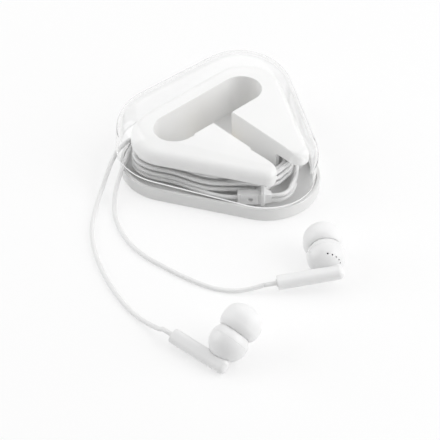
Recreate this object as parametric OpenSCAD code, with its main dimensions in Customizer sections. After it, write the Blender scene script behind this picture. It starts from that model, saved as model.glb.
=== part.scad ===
// Wired earphones with a three-cornered winding case, in millimetres.
// The frame stands on the middle of the tray's underside, +Z up, with the
// mouth of the winder's slot towards -Y.

/* [Case] */
// Distance of each corner's centre from the middle of the case
corner_d = 19.6; // [18.6:0.2:21]
// Corner radius of the tray and the cover
case_r = 19; // [18:0.2:21]
// Height of the tray
tray_h = 5.2; // [4.4:0.1:6]
// Wall of the tray
tray_wall = 1.3; // [1:0.1:1.6]
// Floor of the tray
tray_floor = 1.5; // [1.2:0.1:1.7]
// Rounding round the tray's lower edge
tray_edge_r = 1; // [0.6:0.1:1.2]
// Height of the ridge on the tray's floor that holds the winder's foot
ridge_h = 0.7; // [0.4:0.1:0.8]
// Width of that ridge
ridge_w = 0.8; // [0.6:0.1:1]

/* [Cover] */
// Height of the clear cover over its rim
cover_h = 18.2; // [17.6:0.2:22]
// Wall of the clear cover
cover_wall = 1.3; // [1:0.1:1.6]
// Rounding round the cover's top
cover_edge_r = 9.2; // [7:0.2:11]
// Tilt of the cover, which lies ajar on the tray
cover_tilt = 4.1; // [3.8:0.1:4.4]
// Direction in which the ajar cover rises
cover_rise_az = 129; // [125:1:133]
// Shift of the ajar cover to the left
cover_shift_x = -1.5; // [-1.6:0.1:-1.2]
// Shift of the ajar cover to the back
cover_shift_y = 0.6; // [0.4:0.1:0.8]

/* [Winder] */
// Gap between the inside of the case's wall and the winder's flange
flange_gap = 1.9; // [1.3:0.1:2.5]
// Height of the flange's top over the table
flange_top = 17.7; // [17.4:0.1:18.4]
// Depth of the flange from its top to its lip
flange_h = 5.1; // [4.6:0.1:5.3]
// Wall of the flange
flange_wall = 1.6; // [1.2:0.1:2]
// Rounding round the flange's top
flange_edge_r = 4; // [2.5:0.1:4.2]
// Rounding round the flange's lip
flange_lip_r = 0.6; // [0.3:0.1:0.7]
// Half the width of the slot's cross bar
slot_bar_r = 7.34; // [6.6:0.02:7.6]
// Distance of the cross bar behind the middle of the case
slot_bar_y = 10.05; // [9.4:0.05:10.6]
// Half the distance between the centres of the cross bar's round ends
slot_bar_half = 16.06; // [15:0.02:16.6]
// Half the width of the slot's stem
slot_stem_half = 4.35; // [4:0.05:4.6]
// Wall of the core round the slot
core_wall = 1.5; // [1.2:0.1:1.6]
// Distance of the core's open end in front of the middle
core_end_y = 20; // [18:0.5:21]

/* [Cable] */
// Diameter of the cable
cord_d = 1.6; // [1.4:0.1:1.7]
// Step from turn to turn up the core
turn_pitch = 2.35; // [2.3:0.05:2.5]
// Step from the inner column of turns to the outer one
column_pitch = 2.35; // [2.3:0.05:2.5]
// Turns in each column of the winding
column_turns = 2.65; // [1.65:1:2.65]
// Height of the winding's lowest turn
winding_z = 4.1; // [4:0.1:4.4]
// Slack of the turns along the core's long sides
side_slack = 2.6; // [1.5:0.1:3]
// Slack of the turns across the slot's mouth
mouth_slack = 0.8; // [0:0.1:1.5]

/* [Splitter] */
// Length of the splitter's block
splitter_l = 8; // [7:0.5:9]
// Height of the splitter's block
splitter_h = 4.4; // [4.2:0.1:4.8]
// Depth of the splitter's block
splitter_w = 2.6; // [2.2:0.1:2.8]
// Length of the wedge that guides the two leads
wedge_l = 3.6; // [2.5:0.1:4]
// Diameter of the dimple in the block's front face
dimple_d = 1.5; // [1:0.1:1.8]

/* [Plug] */
// Diameter of the plug's sleeve contact, a standard size
jack_d = 3.5; // [3.5]
// Length of the contacts, a standard size
jack_l = 14; // [14]
// Diameter of the plug's barrel
barrel_d = 5; // [4.6:0.1:5.4]
// Length of the plug's barrel
barrel_l = 11.5; // [10:0.5:12]
// Length of the plug's strain relief
plug_relief_l = 5.5; // [4.5:0.5:6]

/* [Earbud] */
// Radius of the earbud's body
bud_r = 6.55; // [6.2:0.05:6.55]
// Half the depth of the body along its nozzle
bud_half = 6.3; // [6:0.1:6.4]
// Wall of the body
bud_wall = 1; // [0.8:0.1:1.2]
// Place of the seam between the body's two shells
seam_z = 0.7; // [0.4:0.1:1]
// Diameter of each vent
vent_d = 0.7; // [0.5:0.1:0.9]
// Number of vents in the arc
vent_n = 5; // [3:1:6]
// Radius of the nozzle
nozzle_r = 2.4; // [2.2:0.1:2.5]
// Reach of the nozzle from the body's middle
nozzle_reach = 10.4; // [9.8:0.1:10.8]
// Radius of the sound bore
bore_r = 1.5; // [1.2:0.1:1.6]
// Width of the stem
stem_w = 4.2; // [3.8:0.1:4.4]
// Thickness of the stem
stem_t = 5.1; // [4.8:0.1:5.2]
// Rounding along the stem's edges
stem_edge_r = 1.9; // [1.2:0.1:2]
// Reach of the stem past the body's middle on the cord's side
stem_reach = 17.5; // [15:0.5:20]
// Reach of the stem's round end past the body's middle
stem_head = 4.4; // [4.2:0.1:5]
// Distance of the stem's centre line behind the body's middle
stem_back = 7.5; // [7.4:0.05:7.6]

/* [Ear tip] */
// Radius of the ear tip where it is widest
tip_r = 6.85; // [6.3:0.05:6.95]
// Place where the tip is widest
tip_belt_z = 6.7; // [6:0.1:7.5]
// Place of the skirt's open edge
tip_edge_z = 3.7; // [3.4:0.1:4.5]
// Reach of the tip from the body's middle
tip_reach = 13.2; // [12.6:0.1:14]
// Wall of the tip
tip_wall = 0.65; // [0.5:0.05:0.8]

/* [Hidden] */
$fn = 64;

// Steps in a quarter turn of a rounded profile
arc_steps = 6;
// Clearance between fixed pieces that fit together
fit_gap = 0.05;
// Overlap of the pieces that make one solid
lap = 0.5;
// Sides of the case's round corners
corner_fn = 48;

// Corner radius of the winder's flange, which stays inside the case's wall
flange_r = case_r - cover_wall - flange_gap;
flange_z0 = flange_top - flange_h;
corner_az = [-90, 30, 150];
// Height of the ajar cover over the tray, so that its lowest edge just clears the rim
cover_z = tray_h + 2.5;

function unit(az) = [cos(az), sin(az)];
function unit3(v) = v / norm(v);
function quarter(cx, cz, r, a0, a1) =
    let (n = r < 1.5 ? 2 : arc_steps)
    [for (i = [0:n]) let (a = a0 + (a1 - a0) * i / n) [cx + r * cos(a), cz + r * sin(a)]];

// ---------- the rounded triangle ----------

// Solid of the case's outline between two heights, with its upper and lower edges rounded
module corner_solid(r, z0, z1, top_r, foot_r) {
    hull() for (az = corner_az)
        translate(corner_d * [cos(az), sin(az), 0]) rotate_extrude($fn = corner_fn)
            polygon(concat([[0, z1]], quarter(r - top_r, z1 - top_r, top_r, 90, 0),
                           quarter(r - foot_r, z0 + foot_r, foot_r, 0, -90), [[0, z0]]));
}

// Dished shell, open below: walls of one thickness inside the outline
module dished_shell(r, z0, z1, edge_r, wall, lip_r) {
    difference() {
        corner_solid(r, z0, z1, edge_r, lip_r);
        corner_solid(r - wall, z0 - 1, z1 - wall, max(edge_r - wall, 0.3), 0.1);
    }
}

// ---------- the case ----------

module slot_outline(grow) {
    for (side = [-1, 1])
        translate([side * slot_bar_half, slot_bar_y]) circle(slot_bar_r + grow);
    translate([-slot_bar_half, slot_bar_y - slot_bar_r - grow])
        square([2 * slot_bar_half, 2 * (slot_bar_r + grow)]);
    translate([-slot_stem_half - grow, -core_end_y])
        square([2 * (slot_stem_half + grow), core_end_y + slot_bar_y]);
}

// A wall that follows the slot, open at the slot's mouth
module slot_wall(inner, thick, z0, h) {
    translate([0, 0, z0]) difference() {
        linear_extrude(h) slot_outline(inner + thick);
        translate([0, 0, -1]) linear_extrude(h + 2) slot_outline(inner);
        translate([-slot_stem_half - inner, -core_end_y - 1, -1])
            cube([2 * (slot_stem_half + inner), 3, h + 2]);
    }
}

module base_tray() {
    color([0.82, 0.82, 0.81]) {
        difference() {
            corner_solid(case_r, 0, tray_h, 0.3, tray_edge_r);
            corner_solid(case_r - tray_wall, tray_floor, tray_h + 1, 0.1, 0.5);
        }
        slot_wall(core_wall + fit_gap, ridge_w, tray_floor, ridge_h);
    }
}

module cable_winder() {
    color([0.94, 0.94, 0.93]) {
        difference() {
            dished_shell(flange_r, flange_z0, flange_top, flange_edge_r, flange_wall, flange_lip_r);
            translate([0, 0, flange_z0 - 1]) linear_extrude(flange_h + 2) slot_outline(0);
            translate([-slot_stem_half, -2 * case_r, flange_z0 - 1])
                cube([2 * slot_stem_half, 2 * case_r, flange_h + 2]);
        }
        slot_wall(0, core_wall, tray_floor, flange_top - flange_wall / 2 - tray_floor);
        // walls of the mouth through the flange's rim
        for (side = [-1, 1])
            translate([side * (slot_stem_half + core_wall / 2) - core_wall / 2,
                       -corner_d - flange_r + flange_edge_r, flange_z0])
                cube([core_wall, corner_d + flange_r - flange_edge_r - core_end_y + 1,
                      flange_h - flange_wall / 2]);
    }
}

module cover_place() {
    translate([cover_shift_x, cover_shift_y, cover_z])
        rotate(a = cover_tilt, v = [cos(cover_rise_az - 90), sin(cover_rise_az - 90), 0])
            children();
}

module clear_cover() {
    color([0.97, 0.97, 0.97, 0.3]) cover_place()
        dished_shell(case_r, 0, cover_h, cover_edge_r, cover_wall, 0.4);
}

// ---------- tubes ----------

// A tube of the given sides along points, each ring square to its neighbours' line
module tube(points, d, sides) {
    n = len(points);
    ahead = [for (i = [0:n - 1]) unit3(points[min(i + 1, n - 1)] - points[max(i - 1, 0)])];
    rings = [for (i = [0:n - 1])
        let (side = unit3(cross(ahead[i], [0, 0, 1])), up = cross(side, ahead[i]))
        for (k = [0:sides - 1])
            let (a = 360 * (k + 0.5) / sides)
            points[i] + d / 2 * (cos(a) * side + sin(a) * up)];
    walls = [for (i = [0:n - 2], k = [0:sides - 1])
        let (a = i * sides + k, b = i * sides + (k + 1) % sides)
        each [[a, b, b + sides], [a, b + sides, a + sides]]];
    last = (n - 1) * sides;
    first_cap = [for (k = [1:sides - 2]) [0, k + 1, k]];
    last_cap = [for (k = [1:sides - 2]) [last, last + k, last + k + 1]];
    polyhedron(rings, concat(walls, first_cap, last_cap));
}

// A point on the curve from a to b that leaves along da and arrives along db
function blend(a, da, b, db, t) =
    let (s = norm(b - a) / 3, p = a + s * da, q = b - s * db, m = 1 - t)
    m * m * m * a + 3 * m * m * t * p + 3 * m * t * t * q + t * t * t * b;

// A smooth curve through hand-set points, with the given steps between two of them
function smooth(p, steps) =
    let (n = len(p))
    [for (i = [0:n - 2], k = [0:(i == n - 2 ? steps : steps - 1)])
        let (t = k / steps, a = p[max(i - 1, 0)], b = p[i], c = p[i + 1], d = p[min(i + 2, n - 1)])
        0.5 * (2 * b + (c - a) * t + (2 * a - 5 * b + 4 * c - d) * t * t
               + (3 * b - a - 3 * c + d) * t * t * t)];

// ---------- the winding ----------

// Four rounds that the turns bear on, in the order in which the cable meets them:
// right mouth, right end, left end, left mouth, each as [x, y, radius]
mouth_round = slot_stem_half - 1.75;
bearing = [[slot_stem_half + 0.05, -core_end_y + 0.7, mouth_round],
           [slot_bar_half, slot_bar_y, slot_bar_r + core_wall],
           [-slot_bar_half, slot_bar_y, slot_bar_r + core_wall],
           [-slot_stem_half - 0.05, -core_end_y + 0.7, mouth_round]];
function round_at(k) = bearing[(k + 4) % 4];
function round_c(k) = [round_at(k)[0], round_at(k)[1]];
// Direction square to the straight run from round k to the next one, outwards
function run_az(k) =
    let (d = round_c(k + 1) - round_c(k))
    atan2(d[1], d[0]) - acos((round_at(k)[2] - round_at(k + 1)[2]) / norm(d));
function lead_angle(k) = let (a = run_az(k) - run_az(k - 1)) a - 360 * floor(a / 360);
slack = [side_slack, 0.6, side_slack, mouth_slack];
// Stations in a turn: each round's arc and the run after it
stations = [2, 3, 6, 1, 6, 3, 2, 1];
turn_stations = 24;
function stations_before(m) = m == 0 ? 0 : stations_before(m - 1) + stations[m - 1];
function stretch_of(s, m = 0) = (m == 7 || s < stations_before(m + 1)) ? m : stretch_of(s, m + 1);

// Place of the cable's centre after u turns, at a distance from the core
function turn_point(u, away) =
    let (s = (u - floor(u)) * turn_stations, m = stretch_of(s), k = floor(m / 2),
         g = (s - stations_before(m)) / stations[m])
    m % 2 == 0
        ? round_c(k) + (round_at(k)[2] + away) * unit(run_az(k - 1) + lead_angle(k) * g)
        : let (n = unit(run_az(k)),
               a = round_c(k) + (round_at(k)[2] + away) * n,
               b = round_c(k + 1) + (round_at(k + 1)[2] + away) * n)
          a + (b - a) * g + n * slack[k] * pow(sin(180 * g), 2);

// The main lead climbs the core in one column, turns over in half a turn and comes down outside
inner_away = cord_d / 2 + 0.15;
outer_away = inner_away + column_pitch;
winding_turns = 2 * column_turns + 0.5;
function winding_away(u) =
    inner_away + column_pitch * min(max((u - column_turns) / 0.5, 0), 1);
function winding_height(u) =
    winding_z + turn_pitch * (u < column_turns ? u : min(column_turns, winding_turns - u));
function with_z(p, z) = [p[0], p[1], z];
function winding_point(u) = with_z(turn_point(u, winding_away(u)), winding_height(u));
function winding_heading(u) = unit3(winding_point(u + 0.004) - winding_point(u - 0.004));

// ---------- the splitter's place, and what meets it ----------

splitter_az = -44;
splitter_mid = [-12.1, -23.8, 4.9];
along = [cos(splitter_az), sin(splitter_az), 0];
splitter_in = splitter_mid - splitter_l / 2 * along;
splitter_out = splitter_mid + (splitter_l / 2 + wedge_l) * along;
lead_step = [0, 0, 1.05];

// The plug lies in the slot's stem, with its cable leaving through the mouth
plug_x = round_at(0)[0] - round_at(0)[2] - inner_away;
plug_end_y = round_at(0)[1] + cord_d;
plug_z = winding_z;

main_start = [plug_x, plug_end_y, plug_z];
main_last_u = winding_turns - 0.03;
main_bend = 7;
main_entry = 3;
main_points = concat(
    [main_start],
    [for (i = [0:main_entry - 1])
        with_z(round_c(0) + (round_at(0)[2] + inner_away) * unit(180 + 90 * i / main_entry), winding_z)],
    [for (i = [0:round(main_last_u * turn_stations)]) winding_point(i / turn_stations)],
    [for (i = [1:main_bend]) blend(winding_point(main_last_u), winding_heading(main_last_u),
                                   splitter_in - cord_d * along, along, i / main_bend)],
    [splitter_in]);

// The two leads go once round outside the winding and leave over the tray's left corner
lead_away = outer_away + 2.35;
lead_first_u = 0.09;
function lead_climb(u, first_z, last_z, last_u) =
    first_z + (last_z - first_z) * min(max((u - lead_first_u) / (last_u - lead_first_u), 0), 1);
function lead_ring(u, first_z, last_z, last_u) =
    with_z(turn_point(u, lead_away), lead_climb(u, first_z, last_z, last_u));
function lead_points(side, first_z, last_z, last_u, rim, rim_dir) =
    let (start = splitter_out + side * lead_step,
         a = lead_ring(lead_first_u, first_z, last_z, last_u),
         a_dir = unit3(lead_ring(lead_first_u + 0.004, first_z, last_z, last_u) - a),
         b = lead_ring(last_u, first_z, last_z, last_u),
         b_dir = unit3(b - lead_ring(last_u - 0.004, first_z, last_z, last_u)))
    concat([start],
           [for (i = [0:7]) blend(start + cord_d * along, along, a, a_dir, i / 8)],
           [for (i = [0:12]) lead_ring(lead_first_u + (last_u - lead_first_u) * i / 12,
                                       first_z, last_z, last_u)],
           [for (i = [1:4]) blend(b, b_dir, rim - cord_d * rim_dir, rim_dir, i / 4)],
           [rim]);

// Routes of the free leads, from the tray's rim over the table to each stem
right_route = [[-33.8, 17, 7.2], [-37.3, 14.8, 6.7], [-41.3, 12.4, 4.5], [-45.3, 9.2, 1.8],
               [-49, 4.8, 0.85], [-52, -0.4, 0.85], [-54.2, -6.1, 0.85], [-55.6, -12.4, 0.85],
               [-55.7, -19.6, 0.85], [-54.7, -26.6, 0.85], [-53.4, -33.6, 0.85],
               [-51.6, -40.6, 0.85], [-49.3, -46.4, 0.85], [-46, -51.1, 0.9],
               [-42, -54.7, 1.5], [-38, -57.6, 2.7]];
left_route = [[-34.3, 21.3, 8.8], [-37.3, 19.8, 8.2], [-40, 18.5, 6.6], [-44.2, 16.6, 3.2],
              [-49.2, 13.6, 1.1], [-56.6, 7.5, 0.85], [-61.8, 1.8, 0.85], [-66.7, -5.5, 0.85],
              [-70.8, -13.9, 0.85], [-74, -22.8, 0.85], [-76.1, -31.3, 0.85], [-76.9, -37.6, 0.95],
              [-77, -43.9, 1.6], [-76.7, -49, 2.6]];

// ---------- earbud places ----------

// Each as [middle of the body, nozzle's direction over the floor, its rise, turn about it]
left_place = [[-67.2, -72, 6.6], 6.3, 29.9, 92.7];
right_place = [[-16.1, -65.1, 6.6], 53.3, 4.2, 81.7];

module at_bud(p) {
    translate(p[0]) rotate([0, 0, p[1]]) rotate([0, 90 - p[2], 0]) rotate([0, 0, p[3]]) children();
}
// The same turns for a point and for a direction
function turned(p, v) =
    let (a = [v[0] * cos(p[3]) - v[1] * sin(p[3]), v[0] * sin(p[3]) + v[1] * cos(p[3]), v[2]],
         t = 90 - p[2],
         b = [a[0] * cos(t) + a[2] * sin(t), a[1], -a[0] * sin(t) + a[2] * cos(t)])
    [b[0] * cos(p[1]) - b[1] * sin(p[1]), b[0] * sin(p[1]) + b[1] * cos(p[1]), b[2]];

function cord_end(p) = p[0] + turned(p, [stem_reach + grommet_proud, 0, -stem_back]);
function cord_dir(p) = turned(p, [1, 0, 0]);
grommet_proud = 0.4;

// A free lead: its route, then a short curve into the stem's grommet
function free_lead(route, p) =
    let (end = cord_end(p), dir = -cord_dir(p), start = route[0],
         rest = [for (i = [1:len(route) - 1]) route[i]])
    concat([start],
           smooth(concat([start + cord_d * route_dir(route)], rest, [end - 4 * dir]), 2),
           [end - cord_d * dir, end]);

function route_dir(route) = unit3(route[1] - route[0]);
left_rim_u = 0.53;
right_rim_u = 0.57;
left_wound = lead_points(1, 6.2, 8.5, left_rim_u, left_route[0], route_dir(left_route));
right_wound = lead_points(-1, 4.1, 6.3, right_rim_u, right_route[0], route_dir(right_route));
left_free = free_lead(left_route, left_place);
right_free = free_lead(right_route, right_place);

module main_lead_winding() { color([0.9, 0.9, 0.89]) tube(main_points, cord_d, 6); }
module left_lead_winding() { color([0.92, 0.92, 0.91]) tube(left_wound, cord_d, 6); }
module right_lead_winding() { color([0.92, 0.92, 0.91]) tube(right_wound, cord_d, 6); }
module left_lead() { color([0.93, 0.93, 0.93]) tube(left_free, cord_d, 8); }
module right_lead() { color([0.93, 0.93, 0.93]) tube(right_free, cord_d, 8); }

module at_splitter() { translate(splitter_mid) rotate([0, 0, splitter_az]) children(); }

module y_splitter() {
    edge = 0.4;
    color([0.86, 0.86, 0.85]) at_splitter() difference() {
        intersection() {
            translate([-splitter_l / 2, 0, 0]) rotate([90, 0, 90]) linear_extrude(splitter_l)
                rounded_box_outline(splitter_w, splitter_h, edge);
            rotate([90, 0, 0]) translate([0, 0, -splitter_w]) linear_extrude(2 * splitter_w)
                rounded_box_outline(splitter_l, splitter_h, edge);
        }
        translate([splitter_l * 0.05, -splitter_w / 2 + 0.6, -0.2]) rotate([90, 0, 0])
            cylinder(d = dimple_d, h = 2);
    }
}

// The wedge narrows towards the two leads and keeps them apart
module splitter_wedge() {
    root_h = splitter_h - 0.4;
    tip_h = 2 * lead_step[2] + cord_d - 0.2;
    color([0.88, 0.88, 0.87]) at_splitter() translate([splitter_l / 2, 0, 0])
        rotate([90, 0, 0]) translate([0, 0, -splitter_w / 2 + 0.2])
            linear_extrude(splitter_w - 0.4)
                polygon([[0, -root_h / 2], [wedge_l, -tip_h / 2], [wedge_l, tip_h / 2],
                         [0, root_h / 2]]);
}

module rounded_box_outline(w, h, r) {
    square([w - 2 * r, h], center = true);
    square([w, h - 2 * r], center = true);
    for (x = [-1, 1], y = [-1, 1])
        translate([x * (w / 2 - r), y * (h / 2 - r)]) circle(r);
}

// ---------- the plug ----------

module at_plug() { translate([plug_x, plug_end_y, plug_z]) rotate([-90, 0, 0]) children(); }
barrel_z0 = plug_relief_l;
pin_z0 = barrel_z0 + barrel_l;
insulator_l = 0.7;
tip_l = 3.6;
ring_l = 2.4;

module plug_relief() {
    rib_n = 3;
    color([0.9, 0.9, 0.89]) at_plug() rotate_extrude()
        polygon(concat([[0, 0], [cord_d / 2 + 0.35, 0]],
                       [for (i = [0:rib_n - 1]) let (z = plug_relief_l * (i + 0.4) / (rib_n + 0.5),
                                                     r = cord_d / 2 + 0.4 + 0.3 * i)
                           each [[r, z], [r, z + 0.7], [r - 0.25, z + 0.75], [r - 0.2, z + 1.1]]],
                       [[barrel_d / 2 - 0.7, plug_relief_l - 0.4],
                        [barrel_d / 2 - 0.7, plug_relief_l], [0, plug_relief_l]]));
}

module plug_barrel() {
    groove = 0.15;
    color([0.95, 0.95, 0.94]) at_plug() translate([0, 0, barrel_z0]) rotate_extrude()
        polygon(concat([[0, 0]], quarter(barrel_d / 2 - 0.5, 0.5, 0.5, -90, 0),
                       [[barrel_d / 2, barrel_l * 0.7], [barrel_d / 2 - groove, barrel_l * 0.72],
                        [barrel_d / 2 - groove, barrel_l * 0.76], [barrel_d / 2, barrel_l * 0.78]],
                       quarter(barrel_d / 2 - 0.3, barrel_l - 0.3, 0.3, 0, 90),
                       [[0, barrel_l]]));
}

module plug_sleeve() {
    color([0.85, 0.75, 0.5]) at_plug() translate([0, 0, pin_z0])
        cylinder(d = jack_d, h = jack_l - tip_l - ring_l - 2 * insulator_l);
}

module plug_insulators() {
    ring_z = pin_z0 + jack_l - tip_l - ring_l - 2 * insulator_l;
    color([0.2, 0.2, 0.2]) at_plug()
        for (z = [ring_z, ring_z + insulator_l + ring_l])
            translate([0, 0, z]) cylinder(d = jack_d - 0.1, h = insulator_l);
}

module plug_contacts() {
    tip_z = pin_z0 + jack_l - tip_l;
    color([0.85, 0.75, 0.5]) at_plug() {
        translate([0, 0, tip_z - insulator_l - ring_l]) cylinder(d = jack_d, h = ring_l);
        translate([0, 0, tip_z]) rotate_extrude()
            polygon([[0, 0], [jack_d * 0.36, 0], [jack_d * 0.36, 0.6], [jack_d * 0.5, 1.5],
                     [jack_d * 0.5, 1.9], [jack_d * 0.16, tip_l], [0, tip_l]]);
    }
}

// ---------- the earbuds ----------

// Outline of the body's rounded form between two heights, from its axis outwards
function body_radius(z, inset) = (bud_r - inset) * sqrt(max(0, 1 - pow(z / (bud_half - inset), 2)));
function body_outline(z0, z1, inset) =
    let (h = bud_half - inset, a0 = asin(max(-1, z0 / h)), a1 = asin(min(1, z1 / h)), n = 16)
    concat([[0, max(z0, -h)]],
           [for (i = [(z0 <= -h ? 1 : 0):(z1 >= h ? n - 1 : n)])
               let (a = a0 + (a1 - a0) * i / n) [(bud_r - inset) * cos(a), h * sin(a)]],
           [[0, min(z1, h)]]);
module body_form(z0, z1, inset) { rotate_extrude() polygon(body_outline(z0, z1, inset)); }

neck_z = 4.8;
neck_r = nozzle_r + 0.8;
collar_r = nozzle_r + 0.15;
collar_l = 1;

module front_shell(p) {
    color([0.93, 0.93, 0.92]) at_bud(p) difference() {
        union() {
            body_form(seam_z, bud_half, 0);
            translate([0, 0, neck_z - lap]) cylinder(r = neck_r, h = tip_seat_z - neck_z + lap);
            cylinder(r = nozzle_r, h = nozzle_reach);
            translate([0, 0, nozzle_reach - collar_l]) cylinder(r = collar_r, h = collar_l);
        }
        body_form(-1, bud_half - bud_wall, bud_wall);
        cylinder(r = bore_r, h = nozzle_reach + 1);
        translate([0, 0, nozzle_reach - mesh_depth]) cylinder(r = mesh_r + fit_gap, h = mesh_depth + 1);
        translate([0, 0, seam_z - 5]) cylinder(r = bud_r, h = 5);
    }
}
tip_seat_z = 6.3;
mesh_r = 1.9;
mesh_depth = 0.5;
mesh_t = 0.3;

module rear_shell(p, hand) {
    color([0.91, 0.91, 0.9]) at_bud(p) difference() {
        body_form(-bud_half, seam_z, 0);
        body_form(-bud_half + bud_wall, seam_z + 1, bud_wall);
        for (i = [0:vent_n - 1])
            rotate([0, 0, hand * (96 + 17 * i)]) rotate([0, 122 + 3.8 * i, 0])
                translate([0, 0, bud_r - 2 * bud_wall]) cylinder(d = vent_d, h = 3 * bud_wall, $fn = 24);
        // way for the wires from the stem
        translate([0, 0, -bud_half - 1]) cylinder(r = 0.8, h = 3);
    }
}

// The stem: a bar with rounded edges and a round end, hollowed under the body
module stem(p) {
    length = stem_reach + stem_head;
    middle = (stem_reach - stem_head) / 2;
    color([0.92, 0.92, 0.91]) at_bud(p) difference() {
        translate([middle, 0, -stem_back]) intersection() {
            translate([-length / 2, 0, 0]) rotate([90, 0, 90]) linear_extrude(length)
                rounded_box_outline(stem_w, stem_t, stem_edge_r);
            rotate([90, 0, 0]) translate([0, 0, -stem_w]) linear_extrude(2 * stem_w)
                head_outline(length, stem_t, 2.2);
            translate([0, 0, -stem_t]) linear_extrude(2 * stem_t)
                head_outline(length, stem_w, 1.9);
        }
        body_form(-bud_half - fit_gap, bud_half, -fit_gap);
        translate([stem_reach, 0, -stem_back]) rotate([0, -90, 0]) {
            cylinder(r = grommet_r + fit_gap, h = grommet_l);
            cylinder(r = cord_d / 2 - 0.1, h = stem_reach);
        }
    }
}
// A rectangle whose far end is rounded at both corners
module head_outline(l, w, r) {
    translate([-l / 2 + r, -w / 2]) square([l - r, w]);
    translate([-l / 2, -w / 2 + r]) square([l, w - 2 * r]);
    for (side = [-1, 1]) translate([-l / 2 + r, side * (w / 2 - r)]) circle(r);
}
grommet_r = 1.3;
grommet_l = 2.2;

module grommet(p) {
    color([0.8, 0.8, 0.79]) at_bud(p)
        translate([stem_reach + grommet_proud, 0, -stem_back]) rotate([0, -90, 0])
            cylinder(r = grommet_r, h = grommet_l + grommet_proud);
}

module nozzle_mesh(p) {
    hole = 0.36;
    step = 0.62;
    color([0.7, 0.7, 0.7]) at_bud(p) translate([0, 0, nozzle_reach - mesh_depth]) difference() {
        cylinder(r = mesh_r, h = mesh_t);
        translate([0, 0, -1]) for (ring = [0:2], i = [0:max(0, 6 * ring - 1)])
            rotate([0, 0, ring == 0 ? 0 : 60 * i / ring]) translate([ring * step, 0, 0])
                cylinder(d = hole, h = 2, $fn = 16);
    }
}

driver_r = 5.15;
driver_z0 = -1.2;
driver_z1 = 0.9;
module driver_frame(p) {
    ring = 0.6;
    floor_t = 0.5;
    color([0.35, 0.35, 0.36]) at_bud(p) difference() {
        translate([0, 0, driver_z0]) cylinder(r = driver_r, h = driver_z1 - driver_z0);
        translate([0, 0, driver_z0 + floor_t]) cylinder(r = driver_r - ring, h = 5);
        for (i = [0:5]) rotate([0, 0, 60 * i]) translate([driver_r - 1.2, 0, driver_z0 - 1])
            cylinder(r = 0.35, h = 3, $fn = 24);
    }
}
module driver_magnet(p) {
    color([0.6, 0.6, 0.62]) at_bud(p) translate([0, 0, driver_z0 + 0.5]) difference() {
        cylinder(r = 3, h = 1.1);
        translate([0, 0, -1]) cylinder(r = 0.6, h = 4);
    }
}
module diaphragm(p) {
    skin = 0.15;
    dome_r = 2.6;
    rise = 0.5;
    color([0.75, 0.72, 0.6]) at_bud(p) translate([0, 0, driver_z1]) rotate_extrude()
        polygon([[0, rise], [dome_r * 0.6, rise * 0.7], [dome_r, 0], [driver_r - 0.6, 0.1],
                 [driver_r - 0.6, 0], [driver_r - 0.1, 0], [driver_r - 0.1, skin],
                 [driver_r - 0.6, skin + 0.1], [dome_r, skin], [dome_r * 0.6, rise * 0.7 + skin],
                 [0, rise + skin]]);
}

// The ear tip: a dome over a tube that slides on the nozzle, with a skirt that closes in
// again behind and stays just clear of the body
tube_r = collar_r + fit_gap;
tip_mouth_r = 1.9;
skirt_gap = 0.12;
skirt_in_r = body_radius(tip_edge_z, 0) + skirt_gap;
function dome_r(u, r) = r * pow(max(0, 1 - pow(u, 2.6)), 1 / 2.6);
function skirt_r(u, r, edge_r) = r - (r - edge_r) * pow(1 - u, 2.2);
module ear_tip(p) {
    n = 12;
    rings = 4;
    depth = tip_reach - tip_belt_z;
    inner_depth = depth - 1.1;
    skirt_l = tip_belt_z - tip_edge_z;
    bulb = 0.92;
    color([0.96, 0.96, 0.96, 0.9]) at_bud(p) rotate_extrude() polygon(concat(
        [for (i = [0:rings - 1]) let (u = i / rings)
            [skirt_r(u, tip_r, skirt_in_r + 0.7 * tip_wall), tip_edge_z + skirt_l * u]],
        [for (i = [0:n]) let (u = bulb * sin(90 * i / n)) [dome_r(u, tip_r), tip_belt_z + depth * u]],
        [[tip_mouth_r + 0.5, tip_reach], [tip_mouth_r, tip_reach - 0.4],
         [tip_mouth_r, nozzle_reach + 0.3], [tube_r, nozzle_reach + 0.3], [tube_r, tip_seat_z + 0.1],
         [tube_r + 0.7, tip_seat_z + 0.1], [tube_r + 0.7, tip_belt_z + inner_depth * 0.88]],
        [for (i = [n:-1:0]) let (u = 0.86 * sin(90 * i / n))
            [dome_r(u, tip_r - tip_wall), tip_belt_z + inner_depth * u]],
        [for (i = [rings - 1:-1:0]) let (u = i / rings)
            [skirt_r(u, tip_r - tip_wall, skirt_in_r), tip_edge_z + skirt_l * u]]));
}

// Least gap of the winding to itself, measured at two points for each station and at least
// half a turn apart
gap_steps = 2 * turn_stations;
gap_points = [for (i = [0:floor(main_last_u * gap_steps)]) winding_point(i / gap_steps)];
echo(least_gap = min([for (i = [0:len(gap_points) - 1],  // main_lead_winding
                               j = [i + gap_steps / 2:len(gap_points) - 1])
        norm(gap_points[i] - gap_points[j])]) - cord_d);

base_tray();
cable_winder();
clear_cover();
main_lead_winding();
left_lead_winding();
right_lead_winding();
left_lead();
right_lead();
y_splitter();
splitter_wedge();
plug_relief();
plug_barrel();
plug_sleeve();
plug_insulators();
plug_contacts();
front_shell(left_place);  // left_front_shell
rear_shell(left_place, -1);  // left_rear_shell
stem(left_place);  // left_stem
grommet(left_place);  // left_grommet
nozzle_mesh(left_place);  // left_nozzle_mesh
driver_frame(left_place);  // left_driver_frame
driver_magnet(left_place);  // left_driver_magnet
diaphragm(left_place);  // left_diaphragm
ear_tip(left_place);  // left_ear_tip
front_shell(right_place);  // right_front_shell
rear_shell(right_place, 1);  // right_rear_shell
stem(right_place);  // right_stem
grommet(right_place);  // right_grommet
nozzle_mesh(right_place);  // right_nozzle_mesh
driver_frame(right_place);  // right_driver_frame
driver_magnet(right_place);  // right_driver_magnet
diaphragm(right_place);  // right_diaphragm
ear_tip(right_place);  // right_ear_tip
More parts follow.
